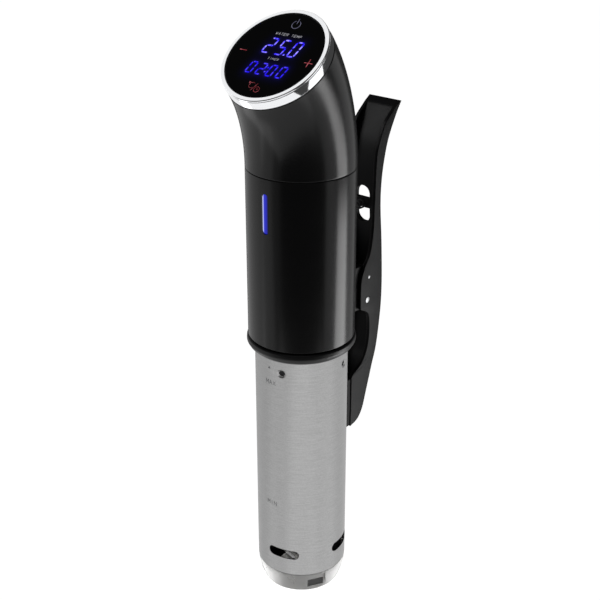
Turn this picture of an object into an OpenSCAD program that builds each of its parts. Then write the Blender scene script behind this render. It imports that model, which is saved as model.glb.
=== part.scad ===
// Immersion circulator that stands in or clips to a pot.
// Origin: centre of the end cap's bottom face. +Z up, the display and light bar face -Y.

/* [Column] */
// Outer radius of the steel sleeve
sleeve_r = 28.5; // [28.3:0.1:28.7]
// Wall of the steel sleeve
sleeve_wall = 0.6; // [0.5:0.1:0.7]
// Height of the sleeve's lower edge
sleeve_bottom = 14.9; // [14.8:0.1:15.2]
// Height of the outlet slots' middle
slot_z = 30.2; // [29:0.1:32]
// Height of each outlet slot
slot_h = 6.5; // [5:0.1:8]
// Arc that each outlet slot spans, in degrees
slot_arc = 43.5; // [30:0.5:50]
// Direction of the first outlet slot, in degrees from the front
slot_turn = 14; // [0:1:20]
// Height of the locking dimples
dimple_z = 161; // [160:0.5:162]

/* [Housing] */
// Outer radius of the housing
body_r = 32.5; // [32.3:0.1:33]
// Wall of the housing
body_wall = 2.2; // [1.8:0.1:2.4]
// Height of the seam between barrel and head
seam_z = 283.5; // [283:0.1:283.8]
// Radius of the neck's bend
bend_r = 109; // [105:1:113]
// Forward tilt of the display, in degrees
tilt = 37.9; // [36:0.1:40]
// Radius of the display glass
glass_r = 29.4; // [29:0.1:29.8]

/* [Clamp] */
// Width of the lever
lever_w = 23.4; // [22.6:0.2:24]
// Thickness of each lever cheek
cheek = 2.3; // [2:0.1:2.3]
// Thickness of the lever's back web
web = 3.6; // [3:0.1:4]
// Radius of the pivot pin
pin_r = 2; // [1.8:0.1:2.2]

/* [Drive] */
// Radius of the drive shaft
shaft_r = 2; // [1.8:0.1:2]
// Radius of the impeller
impeller_r = 20; // [17:0.5:21]
// Number of impeller blades
blades = 6; // [4:1:8]

/* [Cable] */
// Radius of the cable passage in the gland
cable_r = 3.4; // [3:0.1:3.6]

/* [Hidden] */
$fn = 72;
e = 0.01;
sleeve_in = sleeve_r - sleeve_wall;
sleeve_top = 172;
body_in = body_r - body_wall;
body_bottom = 177;
floor_top = 179.5;
mount_r = 27.3;         // outside of the ring that the sleeve locks on
mount_in = 24.8;
lock_turn = 20;         // twist that frees the sleeve
flange_z = 170.5;
flange_top = 172.5;
plate_z = 174.3;        // underside of the sleeve mount's top plate
tube_r = 4.2;
tube_bottom = 46;
leg_r = 3.2;
leg_x = 8;
leg_y = 15;
hairpin_z = 50;
probe_x = 18;
electrode_x = -17;
electrode_y = 4.5;
bend_z = 284;
disc_y = -23.2;         // middle of the display
disc_z = 351.4;
bezel_h = 7.5;
gland_turn = 19;        // place of the cable gland round the bend
pivot = [52.5, 182.5];  // lever pivot, as Y and Z
stop = [53.7, 197.9];   // stop pin, as Y and Z
open_turn = 15;         // lever travel
spring_z = 243;
spring_y0 = 35;
spring_y1 = 60;
cheek_in = lever_w/2 - cheek;
lug_x = cheek_in - 0.3;

// ---- helpers ----

module on_display() translate([0, disc_y, disc_z]) rotate([tilt, 0, 0]) children();
module on_bend() translate([0, -bend_r, bend_z]) rotate([90, 0, 90]) children();
module ring(r0, r1, z0, z1) translate([0, 0, z0]) difference() {
    cylinder(r = r1, h = z1 - z0);
    translate([0, 0, -1]) cylinder(r = r0, h = z1 - z0 + 2);
}
// a plate in the lever's side view, centred on X
module side_plate(w) translate([-w/2, 0, 0]) rotate([90, 0, 90]) linear_extrude(w) children();
// a cylinder along X at a side-view point
module cross_pin(at, r, w) translate([-w/2, at[0], at[1]]) rotate([0, 90, 0]) cylinder(r = r, h = w);
module at_legs() for (x = [-leg_x, leg_x], y = [-leg_y, leg_y]) translate([x, y, 0]) children();

// one Catmull-Rom point between b and c
function knot(a, b, c, d, t) = 0.5*(2*b + (c - a)*t + (2*a - 5*b + 4*c - d)*t*t + (3*b - a - 3*c + d)*t*t*t);
// smooth curve through a list of points
function curve(p, n) = let (m = len(p) - 1) [
    for (i = [0 : m - 1], k = [0 : n - 1])
        knot(p[max(i - 1, 0)], p[i], p[i + 1], p[min(i + 2, m)], k/n),
    p[m]
];
// the same curve moved sideways by d, to the left of its direction
function shifted(c, d) = [
    for (i = [0 : len(c) - 1])
        let (a = c[max(i - 1, 0)], b = c[min(i + 1, len(c) - 1)], v = (b - a)/norm(b - a))
        c[i] + d*[-v[1], v[0]]
];
function turned(p, a) = [p[0]*cos(a) - p[1]*sin(a), p[0]*sin(a) + p[1]*cos(a)];
function arc(cx, cy, r, a0, a1, n) = [for (k = [0 : n]) let (a = a0 + (a1 - a0)*k/n) [cx + r*cos(a), cy + r*sin(a)]];

// ---- wet end ----

module end_cap() color("gainsboro", 0.8) difference() {
    rotate_extrude() polygon([
        [0, 0], [24.2, 0], [25, 0.4], [25.4, 1.2], [26.6, 4.5], [27.6, 9], [28.2, 14.6],
        [27.6, 14.6], [27.6, 22], [25.8, 22], [25.8, 12], [24.6, 5], [23.6, 2.2], [0, 2.2]
    ]);
    // inlet grille
    for (k = [0 : 11]) rotate([0, 0, 30*k + 15]) translate([8, -1.1, -1]) cube([12.5, 2.2, 4]);
    // two finger recesses, each with a shallower step above
    for (k = [0, 180]) rotate([0, 0, 59 + k]) {
        translate([-6.2, -30, 3.6]) cube([12.4, 4.1, 5.8]);
        translate([-6.6, -30, 9.4]) cube([13.2, 3.4, 3.8]);
    }
}

module sleeve() color("silver") difference() {
    union() {
        ring(sleeve_in, sleeve_r, sleeve_bottom, sleeve_top);
        at_dimples() cylinder(r = 2, h = sleeve_r - 26.7 - 0.3);
    }
    at_dimples() translate([0, 0, 0.6]) cylinder(r = 1.5, h = 5);
    for (k = [0 : 3]) rotate([0, 0, 90*k + slot_turn]) translate([0, 0, slot_z]) rotate([90, 0, 0])
        linear_extrude(40) polygon(stadium(sleeve_r*sin(slot_arc/2), slot_h/2));
}
// radial frames of the four dimples, starting at their inner ends
module at_dimples() for (k = [0 : 3]) rotate([0, 0, 90*k + slot_turn]) translate([0, -26.7, dimple_z])
    rotate([90, 0, 0]) children();
// outline of a slot with round ends, half long by r high
function stadium(half, r) = concat(arc(half - r, 0, r, -90, 90, 12), arc(r - half, 0, r, 90, 270, 12));

module sleeve_mount() color("dimgray") difference() {
    union() {
        ring(mount_in, mount_r, 150, body_bottom);
        translate([0, 0, plate_z]) cylinder(r = mount_in + e, h = body_bottom - plate_z);
    }
    translate([0, 0, 170]) cylinder(r = 5, h = 10);
    at_legs() translate([0, 0, 170]) cylinder(r = leg_r, h = 10);
    translate([probe_x, 0, 170]) cylinder(r = 2.5, h = 10);
    for (y = [-electrode_y, electrode_y]) translate([electrode_x, y, 170]) cylinder(r = 1.2, h = 10);
    for (k = [0 : 2]) rotate([0, 0, 120*k + 30]) translate([0, -26.05, 165]) cylinder(r = 1, h = 20);
    // four J-shaped lock grooves
    for (k = [0 : 3]) rotate([0, 0, 90*k + slot_turn]) {
        translate([0, 0, dimple_z]) rotate([90, 0, 0]) cylinder(r = 2.5, h = 30);
        rotate([0, 0, -90]) rotate_extrude(angle = lock_turn)
            translate([mount_in - 1, dimple_z - 2.5]) square([4, 5]);
        rotate([0, 0, lock_turn]) translate([-2.5, -30, 148]) cube([5, 8, dimple_z - 148]);
        rotate([0, 0, lock_turn]) translate([0, 0, dimple_z]) rotate([90, 0, 0]) cylinder(r = 2.5, h = 30);
    }
}

module collar() color("#2b2c2e") rotate_extrude() polygon(concat(
    [[28.85, 169.6], [30.2, 169.6]],
    arc(27.2, 174.6, 6.2, -45, 14, 8),
    [[32.6, 176.8], [27.4, 176.8], [27.4, 172.4], [28.85, 172.4]]
));

module heater_flange() color("lightgray") difference() {
    translate([0, 0, flange_z]) cylinder(r = 24.6, h = flange_top - flange_z);
    translate([0, 0, 160]) cylinder(r = tube_r, h = 20);
    at_legs() translate([0, 0, 160]) cylinder(r = leg_r, h = 20);
    translate([probe_x, 0, 160]) cylinder(r = 2.5, h = 20);
    for (y = [-electrode_y, electrode_y]) translate([electrode_x, y, 160]) cylinder(r = 2.6, h = 20);
}

module flange_seal() color("black") translate([0, 0, (flange_top + plate_z)/2])
    rotate_extrude() translate([23.4, 0]) circle(r = (plate_z - flange_top)/2);

// one hairpin: two straight legs and a half turn
module hairpin(y) {
    for (x = [-leg_x, leg_x]) translate([x, y, hairpin_z]) cylinder(r = leg_r, h = 184 - hairpin_z);
    translate([0, y, hairpin_z]) rotate([90, 0, 0]) rotate([0, 0, 180])
        rotate_extrude(angle = 180) translate([leg_x, 0]) circle(r = leg_r);
}
module heater_element() color("gray") for (y = [-leg_y, leg_y]) hairpin(y);

module temperature_probe() color("lightgray") translate([probe_x, 0, 70]) {
    cylinder(r = 2.5, h = 114);
    sphere(r = 2.5);
}

module level_electrodes() color("lightgray") for (y = [-electrode_y, electrode_y])
    translate([electrode_x, y, 84 + y*2]) cylinder(r = 1.2, h = 98 - y*2);

module electrode_insulators() color("white") for (y = [-electrode_y, electrode_y])
    translate([electrode_x, y, 0]) ring(1.2, 2.6, 166, plate_z);

module shaft_tube() color("lightgray") ring(tube_r - 1, tube_r, tube_bottom, flange_top);

module shaft_bushes() color("peru") {
    ring(shaft_r + 0.04, tube_r - 1, tube_bottom, tube_bottom + 8);
    ring(shaft_r + 0.04, tube_r - 1, flange_top - 8, flange_top);
}

module shaft_support() color("dimgray") difference() {
    union() {
        translate([0, 0, 56]) cylinder(r = 7.5, h = 5);
        at_legs() translate([0, 0, 56]) cylinder(r = leg_r + 1.8, h = 5);
        for (x = [-leg_x, leg_x]) translate([x - 2, -leg_y, 56]) cube([4, 2*leg_y, 5]);
        translate([-leg_x, -2, 56]) cube([2*leg_x, 4, 5]);
    }
    translate([0, 0, 50]) cylinder(r = tube_r, h = 20);
    at_legs() translate([0, 0, 50]) cylinder(r = leg_r, h = 20);
}

module drive_shaft() color("lightgray") translate([0, 0, 24]) cylinder(r = shaft_r, h = 158);

module impeller() color("darkgray") difference() {
    union() {
        translate([0, 0, 23.5]) cylinder(r = 5, h = 14);
        translate([0, 0, 35.5]) cylinder(r = impeller_r, h = 1.6);
        for (k = [0 : blades - 1]) rotate([0, 0, 360*k/blades])
            translate([0, -0.8, 25]) cube([impeller_r - 0.6, 1.6, 11]);
    }
    translate([0, 0, 24]) cylinder(r = shaft_r, h = 30);
}

module shaft_seal() color("black") ring(shaft_r + 0.04, 5, plate_z, body_bottom);

// ---- motor and drive ----

module shaft_coupling() color("goldenrod") difference() {
    translate([0, 0, 178]) cylinder(r = 5, h = 7.6);
    translate([0, 0, 170]) cylinder(r = shaft_r, h = 12);
    translate([0, 0, 182]) cylinder(r = 1.5, h = 9);
}

module base_screws() color("silver") for (k = [0 : 2]) rotate([0, 0, 120*k + 30]) translate([0, -26.05, 0]) {
    translate([0, 0, 166]) cylinder(r = 1, h = floor_top - 166 + e);
    translate([0, 0, floor_top]) cylinder(r = 1.9, h = 1.6);
}

module motor_mount() color("dimgray") difference() {
    union() {
        translate([0, 0, 186]) cylinder(r = 28.5, h = 3);
        for (k = [0 : 2]) rotate([0, 0, 120*k + 90]) translate([0, -25.6, floor_top]) cylinder(r = 2.9, h = 6.6);
    }
    translate([0, 0, 180]) cylinder(r = 6, h = 12);
    for (x = [-10, 10]) translate([x, 0, 180]) cylinder(r = 1.25, h = 12);
    // room for the bracket's nut plate
    translate([-8, 25, 180]) cube([16, 10, 12]);
}

module motor_screws() color("silver") for (x = [-10, 10]) translate([x, 0, 0]) {
    translate([0, 0, 184.4]) cylinder(r = 2.4, h = 1.6);
    translate([0, 0, 186]) cylinder(r = 1.25, h = 6);
}

module motor_can() color("silver") difference() {
    translate([0, 0, 189]) cylinder(r = 17, h = 30);
    translate([0, 0, 192]) cylinder(r = 16, h = 40);
    translate([0, 0, 180]) cylinder(r = 4, h = 20);
    for (x = [-10, 10]) translate([x, 0, 180]) cylinder(r = 1.25, h = 20);
}

module motor_end_cap() color("black") ring(3, 17, 219, 221.5);

module motor_bearings() color("peru") {
    ring(1.54, 4, 189, 192);
    ring(1.54, 3, 219, 221.5);
}

module motor_magnets() color("#3c3c40") for (s = [-70, 110]) rotate([0, 0, s])
    rotate_extrude(angle = 140) translate([13.2, 194]) square([2.8, 20]);

module motor_rotor() color("chocolate") {
    translate([0, 0, 183]) cylinder(r = 1.5, h = 41);
    translate([0, 0, 195]) cylinder(r = 12.4, h = 18);
    translate([0, 0, 214]) cylinder(r = 5, h = 4);
}

// ---- housing ----

module housing_barrel() color("#26272a") difference() {
    union() {
        rotate_extrude() polygon([
            [22, body_bottom], [body_r - 1, body_bottom], [body_r, body_bottom + 1],
            [body_r, seam_z - 0.8], [body_r - 0.5, seam_z - 0.3], [body_in, seam_z - 0.3],
            [body_in, floor_top], [22, floor_top]
        ]);
        translate([-7, body_r - 5, 181]) cube([14, 3.5, 24]);
    }
    // light bar
    translate([0, -20, 0]) rotate([90, 0, 0]) light_slot(20);
    // bracket screws and base screws
    for (z = [187, 199]) translate([0, 24, z]) rotate([-90, 0, 0]) cylinder(r = 1.5, h = 12);
    for (k = [0 : 2]) rotate([0, 0, 120*k + 30]) translate([0, -26.05, 170]) cylinder(r = 1, h = 20);
}
module light_slot(h) {
    for (z = [253, 271.8]) translate([0, z, 0]) cylinder(r = 2.7, h = h);
    translate([-2.7, 253, 0]) cube([5.4, 18.8, h]);
}

module seam_gasket() color("black") ring(body_in + 0.2, body_r - 0.8, seam_z - 0.3, seam_z + 0.1);

module bend(r, a0, a1) on_bend() rotate([0, 0, a0]) rotate_extrude(angle = a1 - a0) translate([bend_r, 0]) circle(r = r);
module head_shell() color("#26272a") difference() {
    union() {
        translate([0, 0, seam_z + 0.1]) cylinder(r = body_r - 0.4, h = bend_z - seam_z);
        bend(body_r, 0, tilt + 2);
    }
    translate([0, 0, seam_z - 1]) cylinder(r = body_in, h = bend_z - seam_z + 1);
    bend(body_in, 0, tilt + 3);
    on_display() translate([-60, -60, -bezel_h]) cube([120, 160, 60]);
    gland_place() translate([0, 0, -8]) cylinder(r = 5.6, h = 20);
}

module main_board() color("darkgreen") translate([-25, 4, 228]) cube([50, 1.6, 52]);

module transformer() color("khaki") {
    translate([-21, -12, 232]) cube([20, 16, 18]);
    translate([-18, -13.5, 236]) cube([14, 1.5, 10]);
}

module capacitors() color("navy") for (x = [7, 18]) translate([x, -1.5, 233]) cylinder(r = 5, h = 16);

module relay() color("royalblue") translate([2, -10, 256]) cube([19, 14, 15]);

module heat_sink() color("silver") {
    translate([-20, 5.6, 232]) cube([40, 3, 40]);
    for (k = [0 : 4]) translate([-20 + 9.4*k, 8.6, 232]) cube([2.4, 9, 40]);
}

module light_bar_lens() color("deepskyblue") intersection() {
    translate([0, -20, 0]) rotate([90, 0, 0]) light_slot(20);
    ring(body_in - 0.4, body_r - 0.5, 240, 280);
}

module light_bar_board() color("darkgreen") translate([-5, -28.6, 248]) cube([10, 1.2, 29]);

// ---- display ----

module chrome_bezel() color("whitesmoke") on_display() rotate_extrude() polygon(concat(
    [[glass_r + 0.1, -bezel_h], [body_r - 0.5, -bezel_h], [body_r - 0.2, -bezel_h + 0.4]],
    [[body_r - 0.2, -2.4], [body_r - 0.8, -2.1], [body_r - 0.8, -1.8]],
    arc(body_r - 1, -1, 0.9, -60, 90, 6),
    [[glass_r + 0.5, -0.1], [glass_r + 0.1, -0.5]]
));

module display_glass() color("#101114") on_display() translate([0, 0, -2.4]) cylinder(r = glass_r, h = 2);

module display_carrier() color("dimgray") on_display() difference() {
    translate([0, 0, -13]) cylinder(r = glass_r, h = 10.6);
    translate([0, 0, -11]) cylinder(r = 27.4, h = 20);
    translate([0, 0, -20]) cylinder(r = 20, h = 20);
}

module display_board() color("darkgreen") on_display() translate([0, 0, -11]) cylinder(r = 27.3, h = 1.6);

module temperature_digits() color("#203060") on_display() translate([-15, -1.5, -9.4]) cube([30, 14.5, 6.8]);

module timer_digits() color("#203060") on_display() translate([-16, -15.5, -9.4]) cube([32, 11, 6.8]);

module touch_springs() color("silver") on_display()
    for (p = [[0, 21.5], [-22, -1], [22, -1], [0, -22]]) translate([p[0], p[1], 0]) ring(1.6, 2.3, -9.4, -2.4);

module buzzer() color("black") on_display() translate([11, 7, -16]) cylinder(r = 6, h = 5);

// ---- cable gland ----

// gland frame: middle of the shell's back wall, +Z outwards
module gland_place() on_bend() rotate([0, 0, gland_turn]) translate([bend_r + body_r, 0, 0]) rotate([0, 90, 0]) children();

module cable_gland() color("#1c1c1e") gland_place() difference() {
    union() {
        translate([0, 0, -5]) cylinder(r = 5.6, h = 6.2);
        translate([0, 0, 1]) cylinder(r = 7.2, h = 2);
        translate([0, 0, 3]) cylinder(r1 = 6.4, r2 = 5.2, h = 5.5);
    }
    // the cable's sheath stops at a shoulder, and its wires go on through
    translate([0, 0, 0.2]) cylinder(r = cable_r, h = 20);
    translate([0, 0, -6]) cylinder(r = 2.2, h = 10);
}

module gland_nut() color("dimgray") gland_place() ring(5.6, 8, -6.8, -4);

// ---- clamp ----

lug_outline = [
    [30, 178], [46, 177], [51, 175.8], [57.4, 178], [59.2, 182.5], [58.6, 192], [57.6, 200],
    [54.5, 205], [50, 206.5], [30, 206.5]
];
module clamp_bracket() color("#1f2022") difference() {
    union() {
        intersection() {
            side_plate(2*lug_x) polygon(lug_outline);
            union() {
                for (s = [-1, 1]) translate([s > 0 ? lug_x - 4 : -lug_x, 0, 170]) cube([4, 70, 50]);
                translate([-lug_x, 0, 178]) cube([2*lug_x, 37, 30]);
            }
        }
        side_plate(6) polygon([[33.6, 178.5], [33.6, 171.4], [34.6, 171.4], [40, 178.5]]);
    }
    translate([0, 0, 160]) cylinder(r = body_r, h = 60);
    translate([0, 0, 160]) cylinder(r = body_r + 1.1, h = 17.4);
    cross_pin(pivot, pin_r, 40);
    // curved slot that the stop pin runs in
    reach = norm(stop - pivot);
    rest = atan2(stop[1] - pivot[1], stop[0] - pivot[0]);
    translate([-20, pivot[0], pivot[1]]) rotate([90, 0, 90]) rotate([0, 0, rest]) linear_extrude(40) polygon(concat(
        arc(reach, 0, 1.5, 180, 360, 8),
        arc(0, 0, reach + 1.5, 1, open_turn - 1, 4),
        [for (p = arc(reach, 0, 1.5, 0, 180, 8)) turned(p, open_turn)],
        arc(0, 0, reach - 1.5, open_turn - 1, 1, 4)
    ));
    for (z = [187, 199]) translate([0, 24, z]) rotate([-90, 0, 0]) cylinder(r = 1.5, h = 30);
}

module bracket_screws() color("silver") for (z = [187, 199]) translate([0, 0, z]) rotate([-90, 0, 0]) {
    translate([0, 0, 25.5]) cylinder(r = 1.5, h = 11.5);
    translate([0, 0, 37]) cylinder(r = 2.8, h = 1.8);
}

module bracket_nut_plate() color("silver") difference() {
    translate([-5, 25.5, 183]) cube([10, 2, 20]);
    for (z = [187, 199]) translate([0, 20, z]) rotate([-90, 0, 0]) cylinder(r = 1.5, h = 12);
}

module pivot_pin() color("silver") cross_pin(pivot, pin_r, lever_w - 0.4);

module spring_seat() color("#1f2022") difference() {
    translate([0, 24, spring_z]) rotate([-90, 0, 0]) cylinder(r = 5, h = 13.5);
    translate([0, spring_y0, spring_z]) rotate([-90, 0, 0]) cylinder(r = 3.7, h = 10);
    translate([0, 0, 230]) cylinder(r = body_r, h = 30);
}

// round wire swept along a helix: rings of 8 points, joined side by side, with flat ends
turns = 8;
wire_r = 0.45;
coil_r = 2.7;
module clamp_spring() {
    n = turns*14;
    length = spring_y1 - spring_y0 - 2*wire_r;
    function centre(i) = [coil_r*cos(i*360/14), spring_y0 + wire_r + length*i/n, spring_z + coil_r*sin(i*360/14)];
    function rim(i, k) = let (a = i*360/14, b = k*45)
        centre(i) + wire_r*cos(b)*[cos(a), 0, sin(a)] + wire_r*sin(b)*[0, 1, 0];
    points = [for (i = [0 : n], k = [0 : 7]) rim(i, k)];
    sides = [for (i = [0 : n - 1], k = [0 : 7]) [8*i + k, 8*i + (k + 1)%8, 8*i + 8 + (k + 1)%8, 8*i + 8 + k]];
    color("silver") polyhedron(points, concat(
        [[for (k = [7 : -1 : 0]) k]], sides, [[for (k = [0 : 7]) 8*n + k]]
    ), convexity = 10);
}

// outlines in the side view, from the handle's tip down to the jaw
back_knots = [
    [83.2, 305.2], [77.4, 297.2], [70.1, 284], [66, 270.3], [64, 257], [63.8, 242], [66, 217], [67.5, 190],
    [66.7, 170], [63.2, 147], [58.7, 133.4], [53.5, 117.3], [50, 106.5], [46.6, 101], [42.5, 98.2], [36.6, 97]
];
grip_knots = [
    [45.1, 178], [44.9, 187], [45.3, 197.5], [48.7, 205.7], [54.2, 214.3], [56.9, 228], [57.6, 247],
    [58.6, 274.6], [61.3, 284.6], [66.6, 294.5], [74, 300.8], [82, 305.8]
];
arch_knots = [
    [36.6, 132.6], [38.4, 134.5], [46.3, 138.4], [52.3, 146.3], [54.8, 158], [54.3, 169.8], [51.6, 174.2], [45.1, 178]
];
module clamp_lever() color("#4a4b4e") {
    back = curve(back_knots, 4);
    hollow = [for (p = shifted(back, -web)) if (p[1] > 103 && p[1] < 304) p];
    difference() {
        side_plate(lever_w) polygon(concat(back, curve(arch_knots, 4), curve(grip_knots, 4)));
        side_plate(2*cheek_in) polygon(concat(hollow, [[10, 103], [10, 310]]));
        cross_pin(pivot, pin_r + 0.05, 40);
        cross_pin(stop, 1.1, 40);
        translate([0, 50, 0]) difference() {
            union() {
                for (z = [235.5, 249.2]) translate([0, 0, z]) rotate([-90, 0, 0]) cylinder(r = 5.3, h = 30);
                translate([-5.3, 0, 235.5]) cube([10.6, 30, 13.7]);
            }
            translate([-10, -5, spring_z - 2.8]) cube([20, 40, 6.2]);
        }
    }
}

module stop_pin() color("silver") cross_pin(stop, 1.1, lever_w - 0.4);

module jaw_pad() color("#151516") difference() {
    translate([-11, 33.2, 97.8]) cube([22, 3.4, 34]);
    for (k = [0 : 6]) translate([-12, 32.8, 101.5 + 4.4*k]) cube([24, 0.9, 1]);
}

end_cap();
sleeve();
sleeve_mount();
collar();
heater_flange();
flange_seal();
heater_element();
temperature_probe();
level_electrodes();
electrode_insulators();
shaft_tube();
shaft_bushes();
shaft_support();
drive_shaft();
impeller();
shaft_seal();
shaft_coupling();
base_screws();
motor_mount();
motor_screws();
motor_can();
motor_end_cap();
motor_bearings();
motor_magnets();
motor_rotor();
housing_barrel();
seam_gasket();
head_shell();
main_board();
transformer();
capacitors();
relay();
heat_sink();
light_bar_lens();
light_bar_board();
chrome_bezel();
display_glass();
display_carrier();
display_board();
temperature_digits();
timer_digits();
touch_springs();
buzzer();
cable_gland();
gland_nut();
clamp_bracket();
bracket_screws();
bracket_nut_plate();
pivot_pin();
spring_seat();
clamp_spring();
clamp_lever();
stop_pin();
jaw_pad();
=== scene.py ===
import math
import bpy
import bmesh
import numpy as np
from mathutils import Matrix, Vector


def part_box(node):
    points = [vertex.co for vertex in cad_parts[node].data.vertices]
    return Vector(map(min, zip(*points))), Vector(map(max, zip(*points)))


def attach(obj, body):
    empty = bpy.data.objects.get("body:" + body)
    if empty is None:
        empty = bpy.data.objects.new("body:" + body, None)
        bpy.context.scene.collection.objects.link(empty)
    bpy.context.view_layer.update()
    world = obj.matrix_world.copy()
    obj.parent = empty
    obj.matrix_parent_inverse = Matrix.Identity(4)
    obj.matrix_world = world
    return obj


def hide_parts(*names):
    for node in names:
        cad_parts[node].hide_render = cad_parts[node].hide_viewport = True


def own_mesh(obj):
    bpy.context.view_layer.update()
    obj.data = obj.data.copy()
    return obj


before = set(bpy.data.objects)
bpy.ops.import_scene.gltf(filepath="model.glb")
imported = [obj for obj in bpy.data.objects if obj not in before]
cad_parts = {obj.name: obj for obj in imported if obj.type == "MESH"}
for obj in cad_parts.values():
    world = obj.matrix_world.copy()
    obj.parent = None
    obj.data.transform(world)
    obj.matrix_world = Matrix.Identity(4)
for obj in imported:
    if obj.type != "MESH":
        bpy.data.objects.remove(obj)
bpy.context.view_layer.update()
print("frame loaded:", len(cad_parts), "nodes")

mm = 0.001


def boxMm(node):
    low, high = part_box(node)
    return np.array(low)/mm, np.array(high)/mm


# places taken from the frame, in millimetres
barrelLow, barrelHigh = boxMm("housing_barrel")
sleeveLow, sleeveHigh = boxMm("sleeve")
glassLow, glassHigh = boxMm("display_glass")
leverHigh = boxMm("clamp_lever")[1]
pivotLow, pivotHigh = boxMm("pivot_pin")
stopLow, stopHigh = boxMm("stop_pin")
springLow, springHigh = boxMm("clamp_spring")
springAxis = (springLow[2] + springHigh[2])/2
seatLow, seatHigh = boxMm("spring_seat")
collarLow, collarHigh = boxMm("collar")

lensLow, lensHigh = boxMm("light_bar_lens")

bodyR = barrelHigh[0]
sleeveR = sleeveHigh[0]
seamZ = barrelHigh[2] + 0.3
tilt = math.radians(37.9)
glassR = glassHigh[0]
glassThick = 2.0
glassMid = (glassLow + glassHigh)/2
displayUp = np.array([0, -math.sin(tilt), math.cos(tilt)])
displayAcross = np.array([1.0, 0, 0])
displayAlong = np.array([0, math.cos(tilt), math.sin(tilt)])
displayTop = glassMid + displayUp*(glassThick/2 + 0.4)  # plane of the bezel's top
bezelHeight = 7.5


view = dict(x=412.54, y=-509.45, height=500.36, turn=39.071, pitch=24.769, roll=0.1, lens=71.69)


def placed(name, data):
    # an object made from its data and put in the scene
    obj = bpy.data.objects.new(name, data)
    bpy.context.scene.collection.objects.link(obj)
    return obj


def placeCamera():
    data = bpy.data.cameras.new("camera")
    data.lens = view["lens"]
    data.sensor_width = 36
    data.clip_end = 50
    camera = placed("camera", data)
    camera.location = (view["x"]*mm, view["y"]*mm, view["height"]*mm)
    turn, pitch, roll = (math.radians(v) for v in (view["turn"], 90 - view["pitch"], -view["roll"]))
    look = Matrix.Rotation(turn, 4, "Z") @ Matrix.Rotation(pitch, 4, "X") @ Matrix.Rotation(roll, 4, "Z")
    camera.rotation_euler = look.to_euler()
    bpy.context.scene.camera = camera


placeCamera()


def meshObject(name, points, faces, smoothAngle=35):
    # points in millimetres; closed meshes get outward faces
    mesh = bpy.data.meshes.new(name)
    mesh.from_pydata((np.asarray(points, float)*mm).tolist(), [], [list(map(int, f)) for f in faces])
    work = bmesh.new()
    work.from_mesh(mesh)
    bmesh.ops.remove_doubles(work, verts=work.verts, dist=1e-7)
    bmesh.ops.dissolve_degenerate(work, edges=work.edges, dist=1e-8)
    bmesh.ops.recalc_face_normals(work, faces=work.faces)
    work.to_mesh(mesh)
    work.free()
    mesh.shade_smooth()
    mesh.set_sharp_from_angle(angle=math.radians(smoothAngle))
    return placed(name, mesh)


def gridFaces(rows, columns, wrapRows=False, wrapColumns=False):
    # quads between neighbouring rows and columns of a grid of points
    r = np.arange(rows if wrapRows else rows - 1)[:, None]
    c = np.arange(columns if wrapColumns else columns - 1)[None, :]
    r1, c1 = (r + 1) % rows, (c + 1) % columns
    quads = np.stack(np.broadcast_arrays(r*columns + c, r*columns + c1, r1*columns + c1, r1*columns + c), -1)
    return quads.reshape(-1, 4)


def tubeFaces(rows, columns):
    # a grid closed round its columns, with one face at each end
    faces = gridFaces(rows, columns, False, True).tolist()
    return faces + [list(range(columns))[::-1], list(range((rows - 1)*columns, rows*columns))]


def readOut(items, field, width=3, kind=float):
    # one field of all the vertices, loops or faces of a mesh
    values = np.zeros(len(items)*width, kind)
    items.foreach_get(field, values)
    return values.reshape(-1, width)


def pointsMm(obj):
    return readOut(obj.data.vertices, "co")/mm


def centresMm(obj):
    return readOut(obj.data.polygons, "center")/mm


def facing(turn):
    # unit directions out from the axis and round it, at a turn from the front towards +X
    return np.array([math.sin(turn), -math.cos(turn), 0]), np.array([math.cos(turn), math.sin(turn), 0])


def softened(corners, closed=True, steps=5):
    # a polyline whose corners are rounded: each corner is (x, y, radius), and the arc touches both sides
    count = len(corners)
    points = []
    for i, corner in enumerate(corners):
        here = np.array(corner[:2], float)
        radius = corner[2] if len(corner) > 2 else 0
        if radius <= 0 or (not closed and i in (0, count - 1)):
            points.append(here)
            continue
        before = np.array(corners[i - 1][:2], float) - here
        after = np.array(corners[(i + 1) % count][:2], float) - here
        lengthA, lengthB = np.linalg.norm(before), np.linalg.norm(after)
        before, after = before/lengthA, after/lengthB
        half = math.acos(max(-1, min(1, float(before @ after))))/2
        cut = min(radius/math.tan(half), 0.49*lengthA, 0.49*lengthB)
        radius = cut*math.tan(half)
        bisector = (before + after)/np.linalg.norm(before + after)
        centre = here + bisector*radius/math.sin(half)
        a = here + before*cut - centre
        b = here + after*cut - centre
        sweep = math.acos(max(-1, min(1, float(a @ b)/(radius*radius))))
        for t in np.linspace(0, 1, steps + 1):
            points.append(centre + (math.sin((1 - t)*sweep)*a + math.sin(t*sweep)*b)/math.sin(sweep))
    return np.array(points)


def upright(s):
    # the column's axis: straight up, with the second side direction towards the back
    s = np.asarray(s, float)
    zero, one = np.zeros_like(s), np.ones_like(s)
    return np.stack([zero, zero, s], -1), np.stack([one, zero, zero], -1), np.stack([zero, one, zero], -1)


def onAxis(origin, across, along):
    # a straight axis through origin, at right angles to two unit directions
    origin, across, along = (np.asarray(v, float) for v in (origin, across, along))
    up = np.cross(across, along)

    def path(s):
        s = np.asarray(s, float)[..., None]
        return origin + up*s, across + 0*s, along + 0*s
    return path


onDisplay = onAxis(displayTop, displayAcross, displayAlong)


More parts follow.
